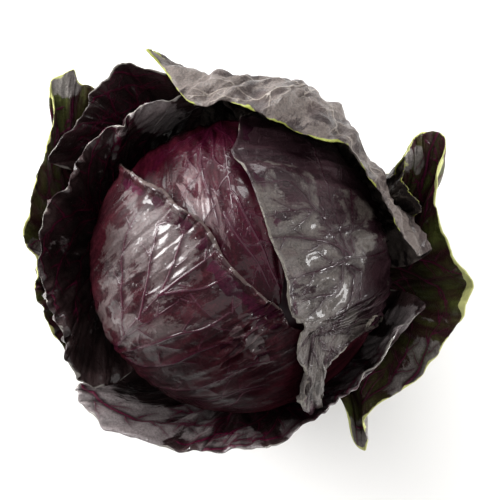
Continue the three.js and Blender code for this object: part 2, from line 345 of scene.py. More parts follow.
# All of a leaf's veins, each with its points on the sheet: those given, then branches and twigs
def veinsOf(leaf, sheet, seed):
    draw = np.random.RandomState(seed)
    slopes = np.gradient(sheet, axis=0), np.gradient(sheet, axis=1)
    middle = sheet.shape[0] // 2
    midrib = branching["midrib"]
    rows = np.arange(0, leaf.get("midrib", midrib["reach"]) * (sheet.shape[1] - 1))
    spine = np.stack([np.full(len(rows), float(middle)), rows], axis=1)
    parents = [(midrib["width"], midrib["height"], 1.0, spine)]
    for vein in leaf["veins"]:
        parents.append((vein["width"], vein["height"], 1.0, veinPath(sheet, vein)))
    veins = list(parents)
    for level, lengths in enumerate((branching["length"], branching["twigLength"])):
        spacing = branching["branchSpacing"] if level else branching["veinSpacing"]
        children = []
        for width, height, strength, path in parents:
            line = onSheet(sheet, path)
            if len(line) < branching["fewestPoints"]:
                continue
            steps = np.linalg.norm(np.diff(line, axis=0), axis=1)
            travelled = np.concatenate([[0], np.cumsum(steps)])
            sparse = leaf.get("sparse", 1)
            distance = draw.uniform(*branching["every"]) * sparse * branching["firstAfter"]
            way = draw.choice((-1, 1))
            while distance < travelled[-1] - branching["bareTip"]:
                k = min(max(int(np.searchsorted(travelled, distance)), 1), len(line) - 2)
                i, j = np.rint(path[k]).astype(int)
                normal = np.cross(slopes[0][i, j], slopes[1][i, j])
                normal /= np.linalg.norm(normal)
                tangent = line[k + 1] - line[k - 1]
                tangent /= np.linalg.norm(tangent)
                angle = way * math.radians(draw.uniform(*branching["angle"]))
                heading = tangent * math.cos(angle) + np.cross(normal, tangent) * math.sin(angle)
                shorter = 1 - branching["shorterAtTip"] * distance / travelled[-1]
                length = draw.uniform(*lengths) * shorter
                bend = -way * math.radians(draw.uniform(0, branching["bend"]))
                child = branchPath(sheet, slopes, path[k], heading, length, bend)
                thin = branching["thinner"]
                children.append((width * thin, height * thin, strength * thin, child))
                distance += draw.uniform(*branching["every"]) * sparse * spacing
                way = -way
        veins += children
        parents = children
    return [
        (width, height, strength, onSheet(sheet, path))
        for width, height, strength, path in veins
        if len(path) > branching["fewestSteps"]
    ]


# Side veins that leave the midrib in turn and bend towards the margin, in shares of the leaf
usualStarts = (0.2, 0.32, 0.45, 0.58, 0.7)


def sideVeins(starts, rise, width, height):
    spine, reach = 0.5, 0.42
    lines = []
    for number, start in enumerate(starts):
        for way in (-1, 1):
            begin = start + 0.02 * way
            points = [
                (spine + way * reach * (1 - start) * t, begin + rise * t ** 0.75)
                for t in (0, 0.25, 0.5, 0.75, 1)
            ]
            points = [(min(max(x, 0.01), 0.99), min(y, 0.99)) for x, y in points]
            lines.append({"width": width, "height": height, "points": points, "onLeaf": True})
    return lines


# A vein given by its width, its height and the places where it is seen from above
def seen(width, height, points, root=False):
    return {"width": width, "height": height, "points": points, "root": root}


leaves = {}

leaves["head_leaf_top"] = {
    "layer": 75.6,
    "stalk": 95,
    "span": 70,
    "margin": [
        side(52, -66), side(38, -45), side(25, -10), side(32, 30), over(27, 20), over(23, -4),
        over(20, -19), over(2, -11), over(-15, 8), over(-28, 20), over(-43, 33), side(143, 10),
        side(145, -30), side(134, -60),
    ],
    "columns": 280,
    "rows": (150, 8),
    "thickness": 0.9,
    "seed": 3,
    "pucker": (0.3, 14, 30),
    "ribHeight": 2.2,
    "waxAndPaintedLight": [(-12, 29, 17, 0.7), (-23, 43, 12, 0.6)],
    # painted shade: spots darkened at the top of the leaf, under the overhanging top wrapper
    "paintedShade": [(-17, 80, 17, 0.65), (-50, 60, 20, 0.6), (8, 60, 14, 0.4)],
    "waxElsewhere": 0.1,
    "sparse": 1.2,
    "veins": [
        seen(2.6, 0.9, [(-13, 82), (-14, 76), (-16, 71)], root=True),
        seen(1.8, 0.7, [(-15, 73), (-20, 64), (-26, 56), (-28, 48)]),
        seen(1.8, 0.7, [(-14, 75), (-13, 66), (-12, 56), (-7, 52), (-2, 48)]),
        seen(1.6, 0.7, [(-16, 71), (-20, 61), (-18, 46), (-13, 32), (-10, 21)]),
        seen(1.6, 0.6, [(-17, 73), (-27, 69), (-36, 62), (-44, 56)]),
        seen(1.4, 0.6, [(-13, 75), (-6, 69), (0, 61), (4, 50)]),
        seen(1.8, 0.8, [(0, 35), (6, 21), (13, 8), (18, -4), (24, -16)]),
        seen(1.2, 0.6, [(-7, 27), (1, 13), (9, 2), (16, -11)]),
    ],
    "look": "innerLeaf",
}

leaves["head_leaf_left"] = {
    "layer": 77.6,
    "stalk": 215,
    "span": 76,
    "ribHeight": 1.4,
    "margin": [
        side(168, -64), side(150, -42), side(140, -12, 0.6), side(139, 18, 1), over(-44, 41, 2),
        over(-34, 36, 2.4), over(-28, 29, 2.6), over(-18, 23, 2.2), over(-11, 15, 1.8),
        over(-6, 5, 1.6), over(4, -6, 1.6), over(14, -15, 1.4), over(21, -20, 1),
        over(26, -29, 0.4), over(38, -32), over(60, -34), side(-27, -4), side(-45, -40),
        side(-88, -66),
    ],
    "columns": 360,
    "rows": (180, 8),
    "thickness": 0.9,
    "seed": 5,
    "pucker": (0.3, 15, 30),
    "curl": (2.8, 2.8),
    "freeMargin": (2, 12),
    "bead": (1.7, 2.2),
    "sparse": 1.9,
    # wax bloom; its grey is also painted light over the highlight zone and on the lit folds near
    # the tip
    "waxAndPaintedLight": [(-47, 8, 27, 1), (-22, -30, 24, 0.5), (-55, -32, 24, 0.62), (-62, -8, 16, 0.6),
            (-20, -72, 30, 0), (-62, -62, 18, 0), (26, -60, 18, 0),
            (9, -42, 5, 1.3), (14, -50, 3, 1.2), (0, -36, 4, 0.9)],
    "waxElsewhere": 0.0,
    "crumple": [(17, -27, 11, 2.6, 3.5), (8, -42, 12, 2.4, 3.5), (-4, -48, 9, 1.6, 4),
                (-60, -45, 8, 0.8, 4)],
    # painted shade: spots darkened over the ball's lower part, its left limb and the notch below
    # the right leaf, where shade falls
    "paintedShade": [(-20, -72, 32, 0.48), (0, -60, 18, 0.45), (28, -68, 24, 0.55),
             (52, -50, 22, 0.75), (-84, 12, 26, 0.6), (-60, -60, 20, 0.5), (-14, -50, 20, 0.35),
             (28, -22, 14, 0.3)],
    "pale": [(-45, 38, 16, 1.2), (-20, 20, 16, 1.2), (0, 0, 14, 1.2)],
    "veins": [
        seen(2.6, 1.0, [(-66, -45), (-60, -37), (-52, -27), (-42, -16)], root=True),
        seen(2.0, 0.8, [(-42, -16), (-32, -8), (-22, -1), (-12, 7), (-5, 12)]),
        seen(1.4, 0.6, [(-42, -16), (-36, -3), (-31, 11), (-26, 23), (-22, 28)]),
        seen(1.2, 0.5, [(-52, -27), (-49, -13), (-47, 3), (-44, 16), (-40, 28)]),
        seen(1.0, 0.4, [(-60, -37), (-62, -19), (-62, -3), (-60, 13), (-55, 27)]),
        seen(1.6, 0.8, [(-42, -16), (-30, -14), (-18, -12), (-7, -6), (-1, -2)]),
        seen(2.0, 0.9, [(-59, -46), (-46, -42), (-32, -37), (-18, -34), (-6, -26), (3, -19)]),
        seen(1.8, 0.9, [(-63, -52), (-48, -55), (-34, -52), (-21, -46), (-7, -42), (6, -36),
                        (13, -30)]),
        seen(1.6, 0.8, [(-58, -63), (-42, -66), (-26, -66), (-7, -60), (1, -56), (9, -52),
                        (13, -47)]),
        seen(1.2, 0.5, [(-34, -73), (-20, -74), (-7, -70), (5, -64)]),
        seen(1.2, 0.5, [(-23, -79), (-15, -78), (-3, -75), (4, -68), (13, -66)]),
    ],
    "look": "headLeaf",
}

leaves["head_leaf_right"] = {
    "layer": 79.6,
    "stalk": 0,
    "span": 70,
    "step": 15,
    "ribHeight": 1.4,
    "margin": [
        side(-40, -64), side(-36, -40), side(-24, -8, 0.4), over(71, -26, 0.8, [73, -22]),
        over(62, -34, 0.9, [66, -28]), over(54, -41, 1, [58, -31]), over(47, -47, 1, [51, -33]),
        over(42.5, -51, 1, [47, -34]), over(41, -56, 1.5, [43, -34]),
        over(39.8, -63, 2.4, [41.5, -34]), over(40.5, -70, 4, [40.5, -34]),
        over(42, -75, 6, [40, -34]), over(38, -77, 6.5, [39.4, -34]),
        over(34.5, -75, 5.6, [38.6, -34]), over(31.5, -69, 4.6, [38, -34]),
        over(34, -65, 3.2, [37, -34]), over(35, -58, 1.5, [36.5, -33.5]),
        over(32.5, -51, 1, [36, -33]), over(28.5, -43, 1.4, [37, -31]),
        over(30, -34, 1.6, [42, -30]), over(32, -28.5, 1.8, [46, -27]),
        over(27, -25, 2, [49, -25]), over(24, -16, 2.4), over(23, -4, 2.4), over(18, 8, 2.2),
        over(14, 18, 1.8), over(9, 34, 1.6), over(3, 48, 1.8), over(-3, 55, 2), over(0, 63, 1),
        side(88, 18), side(78, -16), side(56, -52),
    ],
    "columns": 370,
    "rows": (180, 8),
    "thickness": 0.9,
    "seed": 7,
    "pucker": (0.7, 11, 30),
    "curl": (1.5, 2.2),
    "bead": (0.5, 1.2),
    "sparse": 1.3,
    "spread": 9,
    "midrib": 0.6,
    # painted shade: spots darkened along the top and the right side, where the leaf turns into
    # shade
    "paintedShade": [(30, 68, 16, 0.4), (73, 36, 22, 0.6), (80, -5, 16, 0.6), (72, -34, 16, 0.55)],
    "smooth": [(44, -48, 30, 0.85)],
    "waxElsewhere": 0.15,
    "crumple": [(50, -14, 16, 0.9, 8), (46, -15, 9, 1.6, 4), (57, -2, 9, 1.3, 5),
                (54, 28, 14, 0.9, 6), (37, -70, 10, 1.7, 4), (62, -30, 14, 1, 7),
                (34, 8, 11, 0.9, 5)],
    "pale": [(28, 10, 12, 0.8), (30, -20, 12, 0.8), (27, -42, 10, 0.8)],
    # wax bloom; its grey is also painted light, lightening the middle and lower part where light
    # falls
    "waxAndPaintedLight": [(38, 13, 34, 1), (46, -29, 24, 0.8), (58, 24, 18, 0.55), (36, -60, 20, 0.8),
            (25, 35, 14, 0.5)],
    "veins": [
        seen(2.6, 0.8, [(75, 5), (66, 4), (59, 4)], root=True),
        seen(1.4, 0.5, [(59, 4), (54, 21), (47, 43), (43, 56), (37, 67)]),
        seen(1.4, 0.5, [(61, 8), (61, 27), (58, 45), (53, 57)]),
        seen(1.6, 0.6, [(57, 5), (44, 27), (25, 28), (14, 24)]),
        seen(1.4, 0.5, [(44, 27), (36, 37), (27, 44), (17, 44), (8, 44)]),
        seen(1.6, 0.6, [(59, 6), (49, 12), (39, 14), (28, 15), (18, 14)]),
        seen(1.4, 0.5, [(58, 2), (49, -1), (41, -4), (34, -6), (27, -8)]),
        seen(1.6, 0.6, [(58, 1), (56, -7), (54, -13), (44, -17), (35, -19)]),
        seen(1.4, 0.5, [(61, -1), (61, -13), (57, -25), (49, -35), (39, -44), (34, -52)]),
        seen(1.4, 0.5, [(63, -1), (66, -13), (65, -27), (59, -40)]),
    ],
    "look": "waxyLeaf",
}

leaves["wrapper_left_inner"] = {
    "layer": 83,
    "stalk": 163,
    "span": 64,
    "ribHeight": 2.6,
    "waves": (1.5, 5, 0.3),
    "margin": [
        side(122, -58), side(114, -38), side(106, -20, 1), rim(101, 87, 94), rim(103, 91, 106),
        rim(109, 93, 112), rim(119, 95, 117), rim(128, 92, 115), rim(133, 97, 110),
        rim(144, 100, 108), rim(152, 99, 113), rim(162, 101, 116), rim(173, 102, 110),
        rim(184, 102, 104), rim(193, 100, 105), rim(203, 101, 102), rim(216, 103, 92),
        rim(222, 97, 80), side(225, -20, 3), side(214, -50, 0.5),
    ],
    "columns": 320,
    "rows": (40, 120),
    "lip": (0.45, 12),
    "ruffle": (0.8, (11, 17, 26, 41), 11),
    "seed": 13,
    "pucker": (0.5, 11, 22),
    "crimp": 1.6,
    "waxElsewhere": 0.1,
    "waxAndPaintedLight": [(-104, 0, 14, 0.35), (-98, 40, 14, 0.35), (-75, 65, 16, 0.4), (-45, 82, 12, 1.4)],
    "veins": sideVeins(usualStarts, 0.42, 1.5, 0.6),
    "look": "purpleWrapper",
}

leaves["wrapper_bottom"] = {
    "layer": 85.5,
    "stalk": 283,
    "span": 66,
    "step": 18,
    "ribHeight": 2.8,
    "waves": (1.2, 7, 1.1),
    "margin": [
        side(234, -62, 0.5), side(222, -34, 3), rim(218, 102, 72), rim(217, 108, 84),
        rim(221, 113, 88), rim(230, 110, 95), rim(240, 105, 99), rim(253, 102, 96),
        rim(262, 101, 92), rim(274, 97, 96), rim(284, 93, 102), rim(298, 91, 99),
        rim(305, 89, 95), rim(313, 88, 98), rim(325, 88, 104), rim(336, 91, 101),
        rim(342, 95, 99), rim(348, 97, 104), side(351, -8, 3), side(346, -40, 1),
        side(326, -62),
    ],
    "columns": 320,
    "rows": (50, 110),
    "lip": (0.42, 12),
    "ruffle": (0.8, (11, 17, 26, 41), 17),
    "seed": 19,
    "pucker": (0.5, 12, 24),
    "crimp": 0.5,
    "bead": (0.5, 1.6),
    "waxElsewhere": 0.1,
    # wax bloom; its grey is also painted light along the lit band of the bottom rim
    "waxAndPaintedLight": [(-78, -72, 14, 1), (-62, -82, 14, 1), (-47, -87, 15, 1), (-23, -85, 13, 0.9),
            (-90, -50, 12, 0.8), (88, -30, 10, 1), (75, -45, 10, 1), (60, -58, 9, 1),
            (50, -72, 9, 0.8), (6, -95, 8, 1.1), (-12, -98, 9, 1.1), (29, -88, 6, 1.1)],
    "veins": sideVeins(usualStarts, 0.42, 1.5, 0.6) + [
        seen(1.4, 0.3, [(-82, -66), (-74, -72), (-66, -77), (-56, -82), (-47, -83), (-26, -85),
                        (-7, -85)]),
        seen(1.2, 0.3, [(-31, -95), (-20, -93), (-10, -90), (4, -87)]),
        seen(1.2, 0.3, [(-18, -99), (-7, -97), (9, -90)]),
        seen(1.2, 0.3, [(13, -92), (28, -85), (43, -76)]),
    ],
    "look": "purpleWrapper",
}

leaves["wrapper_top"] = {
    "layer": 83,
    "stalk": 58,
    "span": 66,
    "ribHeight": 2.8,
    "waves": (0.8, 6, 2.2),
    "margin": [
        side(14, -62), side(3, -38), side(-1, -12, 1), rim(1, 93, 96), rim(5, 101, 108),
        rim(3, 95, 112), rim(9, 87, 116), rim(16, 83, 121), rim(23, 81, 126, 1),
        rim(33, 80, 127, 2), rim(46, 83, 133, 4), rim(55, 76, 140, 9), rim(69, 73, 139, 14),
        rim(78, 74, 142, 14), rim(85, 78, 140, 12), rim(93, 83, 135, 10), rim(101, 82, 134, 11),
        rim(107, 87, 130, 10), rim(109, 95, 122, 7), rim(111, 110, 112), rim(113, 122, 108, -9),
        rim(109, 109, 100), side(107, 1, 13), side(107, -22, 4), side(102, -44, 1),
        side(92, -64),
    ],
    "columns": 250,
    "rows": (140, 50),
    "ruffle": (0.5, (13, 19, 31, 47), 23),
    "seed": 29,
    "pucker": (0.9, 12, 17),
    "quilt": (2.4, 5),
    "crimp": 0.5,
    "waxAndPaintedLight": [(10, 85, 200, 0.6)],
    "pale": [(92, 2, 13, -6)],
    "veins": sideVeins(usualStarts, 0.4, 1.5, 0.8),
    "look": "lilacWrapper",
}

leaves["wrapper_left_middle"] = {
    "layer": 88,
    "stalk": 124,
    "span": 36,
    "ribHeight": 2,
    "waves": (1, 4, 0.6),
    "margin": [
        side(112, -58), side(109, -32), side(108.2, -10, 8), rim(108.8, 107.5, 89),
        rim(116, 117, 94), rim(120, 123, 97), rim(125, 120, 95), rim(131, 118, 95),
        rim(134, 116, 95), rim(139, 114, 95), rim(145, 115, 95), rim(151, 114, 90),
        side(148, -16, 8), side(143, -42), side(136, -62),
    ],
    "columns": 180,
    "rows": (40, 90),
    "ruffle": (0.5, (9, 14, 23), 31),
    "seed": 37,
    "pucker": (0.4, 12, 26),
    "waxElsewhere": 0.1,
    "veins": sideVeins((0.25, 0.4, 0.55, 0.7), 0.35, 1.4, 0.5) + [
        seen(1.2, 0.3, [(-67, 102), (-55, 101), (-42, 100), (-35, 99)]),
        seen(1.2, 0.3, [(-77, 88), (-70, 92), (-63, 94), (-51, 95), (-38, 95)]),
        seen(1.2, 0.3, [(-78, 74), (-68, 79), (-55, 84), (-45, 87)]),
        seen(1.0, 0.3, [(-84, 67), (-76, 72), (-68, 74)]),
    ],
    "look": "purpleWrapper",
}

leaves["wrapper_right_inner"] = {
    "layer": 88.2,
    "stalk": 22,
    "span": 36,
    "margin": [
        side(8, -62), side(8, -36), side(15, -8, 8), rim(16, 99, 97), rim(17, 100, 103),
        rim(20, 99, 104), rim(24, 97, 104), rim(27, 97, 104), rim(30, 100, 104),
        rim(33, 103, 105), rim(32, 98, 102), rim(30, 95, 96), side(31, -10, 5), side(35, -38),
        side(33, -62),
    ],
    "columns": 130,
    "rows": (40, 80),
    "ruffle": (0.5, (5, 9, 14), 41),
    "seed": 43,
    "pucker": (0.4, 10, 20),
    "veins": sideVeins((0.3, 0.5, 0.7), 0.3, 1.4, 0.4),
    "look": "lilacWrapper",
}

leaves["wrapper_left_outer"] = {
    "layer": 90.5,
    "stalk": 180,
    "span": 52,
    "step": 18,
    "ribHeight": 2.4,
    "spread": 2.6,
    "waves": (1.6, 5, 1.7),
    "margin": [
        side(150, -62, 0.3), side(139, -42, 4), side(131, -20, 22), rim(129, 123, 81),
        rim(131, 128, 86), rim(130, 134, 92), rim(135, 139, 90), rim(140, 130, 86),
        rim(149, 121, 84), rim(157, 115, 90), rim(166, 113, 95), rim(174, 113, 92),
        rim(179, 109, 86), rim(186, 110, 84), rim(191, 107, 87), rim(196, 105, 84),
        rim(205, 105, 76), rim(216, 107, 68), side(216, -34, 7), side(205, -62),
    ],
    "columns": 240,
    "rows": (50, 90),
    "ruffle": (0.6, (11, 17, 29), 47),
    "seed": 53,
    "pucker": (0.6, 13, 24),
    "crimp": 0.5,
    "waxElsewhere": 0.1,
    "waxAndPaintedLight": [(-92, 97, 9, 1.2), (-109, 7, 8, 1.2)],
    "veins": sideVeins(usualStarts, 0.4, 1.5, 0.6) + [
        seen(1.0, 0.3, [(-95, 83), (-96, 67), (-99, 51), (-101, 35)]),
        seen(1.0, 0.3, [(-88, 88), (-91, 72), (-94, 61), (-96, 51)]),
    ],
    "look": "greenWrapper",
}

leaves["wrapper_right_outer"] = {
    "layer": 90.5,
    "stalk": -10,
    "span": 62,
    "step": 18,
    "ribHeight": 2.4,
    "spread": 2.6,
    "waves": (1.2, 5, 0.4),
    "margin": [
        side(-40, -62), side(-52, -40, 3), rim(-53, 97, 58), rim(-57, 116, 56),
        rim(-56, 124, 58), rim(-54, 122, 61), rim(-51, 110, 64), rim(-40, 112, 70),
        rim(-31, 115, 75), rim(-18, 119, 82), rim(-12, 124, 86), rim(-5, 126, 94),
        rim(0, 118, 94), rim(7, 111, 93), rim(17, 108, 92), rim(24, 115, 96),
        rim(32, 127, 102), rim(35, 124, 102), rim(36, 116, 101), rim(35, 109, 99),
        rim(33, 103, 96), rim(31, 101, 87), side(32, -18, 6), side(34, -44, 1),
        side(24, -62),
    ],
    "columns": 300,
    "rows": (50, 110),
    "ruffle": (0.6, (13, 19, 31), 59),
    "seed": 61,
    "pucker": (0.6, 13, 26),
    "pale": [(124, -11, 14, 5), (118, 5, 10, 2), (107, 50, 16, 1.5)],
    "waxElsewhere": 0.12,
    # wax bloom; the spot on the upper lobe is painted light on its lit folds
    "waxAndPaintedLight": [(100, -51, 13, 1.1), (90, -66, 11, 1), (62, -94, 13, 1.1), (94, 57, 8, 0.9)],
    "veins": sideVeins(usualStarts, 0.4, 1.5, 0.6) + [
        seen(1.6, 0.4, [(106, 70), (102, 60), (100, 51), (98, 43), (98, 35), (101, 21)]),
        seen(1.4, 0.4, [(61, -80), (65, -69), (71, -59), (75, -48)]),
        seen(1.4, 0.4, [(65, -75), (74, -66), (84, -57), (92, -37)]),
        seen(1.2, 0.3, [(89, -64), (101, -45), (111, -25)]),
    ],
    "look": "greenWrapper",
}


# Colours are written as sRGB hex
def linear(colour):
    values = [int(colour[i:i + 2], 16) / 255 for i in (1, 3, 5)]
    return (*(v / 12.92 if v <= 0.04045 else ((v + 0.055) / 1.055) ** 2.4 for v in values), 1)


# Adds one shader node and gives back one of its outputs. inputs maps a socket's name or number
# to a value, or to an output to link from
def addNode(tree, kind, inputs=None, output=0, **settings):
    node = tree.nodes.new("ShaderNode" + kind)
    for name, value in settings.items():
        setattr(node, name, value)
    for name, value in (inputs or {}).items():
        if isinstance(value, bpy.types.NodeSocket):
            tree.links.new(value, node.inputs[name])
        else:
            node.inputs[name].default_value = value
    return None if output is None else node.outputs[output]


def newMaterial(name):
    material = bpy.data.materials.new(name)
    material.use_nodes = True
    material.node_tree.nodes.clear()
    return material


# Waxy leaf skin: dark anthocyanin purple or green under a thin grey wax bloom, wet in places
# each look's inner-face painted shade runs from a start to an end distance from the rim, in
# millimetres, down to a share of the colour
looks = {
    "headLeaf": {
        "deep": "#200a0f", "light": "#38141b", "bloomAndPaintedLight": "#4b3c3c", "vein": "#390d1f",
        "halo": "#2c0a15", "margin": "#4c3f3d", "marginWidth": 0.7,
        "insideDeep": "#2c0a1a", "insideLight": "#421428", "paintedRecessShade": (8, 22, 0.35),
        "rough": 0.42, "wet": 0.8, "sheen": 0.5, "bump": 0.5,
    },
    "innerLeaf": {
        "deep": "#25060e", "light": "#380d18", "bloomAndPaintedLight": "#573a3d", "vein": "#340a1b",
        "halo": "#38081e", "margin": "#4c3f3d", "marginWidth": 0.5,
        "insideDeep": "#2c0a1a", "insideLight": "#421428", "paintedRecessShade": (8, 22, 0.35),
        "rough": 0.4, "wet": 0.5, "sheen": 0.7, "bump": 0.5,
    },
    "waxyLeaf": {
        "deep": "#1f1015", "light": "#37252a", "bloomAndPaintedLight": "#544d48", "vein": "#2c121c",
        "halo": "#352a2b", "margin": "#6a645c", "marginWidth": 0.8,
        "insideDeep": "#2a0f1c", "insideLight": "#3f1b2c", "paintedRecessShade": (8, 22, 0.35),
        "rough": 0.45, "wet": 0.35, "sheen": 0.4, "bump": 1.3,
    },
    "purpleWrapper": {
        "deep": "#241517", "light": "#3c2a2f", "bloomAndPaintedLight": "#766d6d", "vein": "#4c0c28",
        "halo": "#220d14", "margin": "#85807a", "marginWidth": 0.7,
        "insideDeep": "#241a1a", "insideLight": "#3f3030", "paintedRecessShade": (6, 10, 0.55),
        "rough": 0.45, "wet": 1.0, "sheen": 0.5, "bump": 0.8,
    },
    "lilacWrapper": {
        "deep": "#2f2727", "light": "#4a403f", "bloomAndPaintedLight": "#615752", "vein": "#81776f",
        "halo": "#645a55", "margin": "#888d40", "marginWidth": 0.9,
        "insideDeep": "#1b1516", "insideLight": "#362f30", "paintedRecessShade": (6, 16, 0.3),
        "rough": 0.5, "wet": 0.3, "sheen": 0.4, "bump": 1.0,
    },
    "greenWrapper": {
        "deep": "#2b2f14", "light": "#4c5229", "bloomAndPaintedLight": "#837d7a", "vein": "#4f1230",
        "halo": "#221715", "margin": "#c9cb85", "marginWidth": 1.0,
        "insideDeep": "#33181d", "insideLight": "#454a24", "paintedRecessShade": (14, 34, 0.4),
        "rough": 0.45, "wet": 0.4, "sheen": 0.45, "bump": 0.8,
    },
}


# How wide the leaf skin's patterns are, in millimetres
patterns = {
    "mottle": 12,
    "waxAndPaintedLight": 20,
    "bend": 7,
    "net": 6,
    "fineNet": 2,
    "grain": 1.2,
    "rimBand": 14,
    "rough": 10,
    "wet": 15,
    "drops": 5,
    "fineSkin": 5,
}
perMetre = {name: 1000 / size for name, size in patterns.items()}
bending = 0.005
reliefDepth = 0.0004
skinIor = 1.45

# Settings that many nodes share
smoothly = {"interpolation_type": "SMOOTHSTEP"}
blend = {"output": 2, "data_type": "RGBA"}
times = {"operation": "MULTIPLY"}
timesPlus = {"operation": "MULTIPLY_ADD"}


def leafMaterial(name, look):
    material = newMaterial(name)
    add = partial(addNode, material.node_tree)
    solid = add("TexCoord", output="Object")
    strand = add("Attribute", output="Vector", attribute_name="strand")
    streaks = add("Mapping", {"Vector": strand, "Scale": (1, 0.3, 1)})
    # the attributes include spots of painted shade, and wax spots that in places also paint light
    vein, veinSide, edge, margin, waxAndPaintedLight, paintedShade, inside = (
        add("Attribute", output="Fac", attribute_name=label)
        for label in ("vein", "veinSide", "edge", "margin", "waxAndPaintedLight", "paintedShade", "inside")
    )

    # the skin, streaked along the leaf; the inner face gets painted shade, darker away from the
    # rim, down in the hollows between leaves
    skinNoise = add("TexNoise", {
        "Vector": streaks, "Scale": perMetre["mottle"], "Detail": 6.0, "Roughness": 0.65,
        "Distortion": 0.4})
    mottle = add("MapRange", {"Value": skinNoise, "From Min": 0.38, "From Max": 0.64}, **smoothly)
    outer, inner = (
        add("Mix", {0: mottle, 6: linear(look[deep]), 7: linear(look[light])}, **blend)
        for deep, light in (("deep", "light"), ("insideDeep", "insideLight"))
    )
    fadeStart, fadeEnd, fadeTo = look["paintedRecessShade"]
    recessShade = add("MapRange", {
        "Value": edge, "From Min": fadeStart, "From Max": fadeEnd, "To Min": 1.0,
        "To Max": fadeTo}, **smoothly)
    inner = add("Mix", {0: 1.0, 6: inner, 7: recessShade}, **blend, blend_type="MULTIPLY")
    colour = add("Mix", {0: inside, 6: outer, 7: inner}, **blend)

    # grey wax, rubbed off in sharp-edged patches and along the veins; where given spots raise it,
    # the grey is also painted light on lit folds and bands
    waxPlace = add("Mapping", {"Vector": strand, "Scale": (1, 0.55, 1)})
    waxNoise = add("TexNoise", {
        "Vector": waxPlace, "Scale": perMetre["waxAndPaintedLight"], "Detail": 10.0, "Roughness": 0.7,
        "Distortion": 0.5})
    waxAndPaintedLightLevel = add("Math", {0: waxAndPaintedLight, 1: 0.32, 2: waxNoise}, **timesPlus)
    waxAndPaintedLightPatch = add("MapRange", {"Value": waxAndPaintedLightLevel, "From Min": 0.66, "From Max": 0.71}, **smoothly)
    offVeins = add("MapRange", {
        "Value": vein, "From Min": 0.15, "From Max": 0.7, "To Min": 1.0, "To Max": 0.15})
    waxAndPaintedLightHere = add("Math", {0: waxAndPaintedLightPatch, 1: offVeins}, **times)
    waxAndPaintedLightHere = add("Math", {0: waxAndPaintedLightHere, 1: 0.85}, **times)
    colour = add("Mix", {0: waxAndPaintedLightHere, 6: colour, 7: linear(look["bloomAndPaintedLight"])}, **blend)

    # the net of small veins and the finer net between them
    bent = add("TexNoise", {
        "Vector": solid, "Scale": perMetre["bend"], "Detail": 3.0}, output="Color")
    warped = add("VectorMath", {0: bent, 1: [bending] * 3, 2: solid}, **timesPlus)
    net, fineNet = (
        add("TexVoronoi", {"Vector": warped, "Scale": perMetre[size]}, feature="DISTANCE_TO_EDGE")
        for size in ("net", "fineNet")
    )
    netLine = add("MapRange", {"Value": net, "From Min": 0.07, "From Max": 0.0}, **smoothly)
    fineLine = add("MapRange", {"Value": fineNet, "From Min": 0.15, "From Max": 0.0}, **smoothly)
    haloAmount = add("Math", {0: vein, 1: 0.75}, **times)
    netAmount = add("Math", {0: netLine, 1: 0.2, 2: haloAmount}, **timesPlus)
    colour = add("Mix", {0: netAmount, 6: colour, 7: linear(look["halo"])}, **blend)

    # a vein is a crisp line, as wide as it is strong
    lineWidth = add("Math", {0: vein, 1: 0.7, 2: 0.2}, **timesPlus)
    offLine = add("Math", {0: veinSide}, operation="ABSOLUTE")
    ratio = add("Math", {0: offLine, 1: lineWidth}, operation="DIVIDE")
    crisp = add("MapRange", {"Value": ratio, "From Min": 1.2, "From Max": 0.3}, **smoothly)
    strength = add("MapRange", {"Value": vein, "From Min": 0.1, "From Max": 0.6})
    line = add("Math", {0: crisp, 1: strength}, **times)
    colour = add("Mix", {0: line, 6: colour, 7: linear(look["vein"])}, **blend)

    # fine grain, over skin darkened by painted shade in the given spots
    grainNoise = add("TexNoise", {
        "Vector": solid, "Scale": perMetre["grain"], "Detail": 4.0, "Roughness": 0.75})
    grain = add("MapRange", {
        "Value": grainNoise, "From Min": 0.3, "From Max": 0.7, "To Min": 0.5, "To Max": 1.5})
    notPaintedShade = add("Math", {0: 1.0, 1: paintedShade}, operation="SUBTRACT")
    grain = add("Math", {0: grain, 1: notPaintedShade}, **times)
    colour = add("Mix", {0: 1.0, 6: colour, 7: grain}, **blend, blend_type="MULTIPLY")

    # the margin is pale, in a broken band whose width wanders
    rimNoise = add("TexNoise", {"Vector": solid, "Scale": perMetre["rimBand"], "Detail": 4.0})
    bandWidth = add("MapRange", {
        "Value": rimNoise, "From Min": 0.4, "From Max": 0.65, "To Min": -0.4,
        "To Max": 2 * look["marginWidth"]})
    band = add("Math", {0: bandWidth, 1: margin}, operation="SUBTRACT")
    atEdge = add("MapRange", {"Value": band, "From Min": 0.0, "From Max": 0.5}, **smoothly)
    colour = add("Mix", {0: atEdge, 6: colour, 7: linear(look["margin"])}, **blend)

    # waxed skin is duller, and the spots of painted shade are duller too, their gloss and water
    # film taken away as in shade
    roughNoise = add("TexNoise", {"Vector": solid, "Scale": perMetre["rough"], "Detail": 5.0})
    skinRough = add("MapRange", {
        "Value": roughNoise, "From Min": 0.35, "From Max": 0.65,
        "To Min": look["rough"] - 0.18, "To Max": look["rough"] - 0.02})
    rough = add("Math", {0: waxAndPaintedLightHere, 1: 0.2, 2: skinRough}, **timesPlus)
    glossOutsidePaintedShade = add("Math", {0: paintedShade, 1: -1.8, 2: 1.0}, **timesPlus, use_clamp=True)
    gloss = add("Math", {0: waxAndPaintedLightHere, 1: look["sheen"], 2: 0.15}, **timesPlus)
    gloss = add("Math", {0: gloss, 1: glossOutsidePaintedShade}, **times)

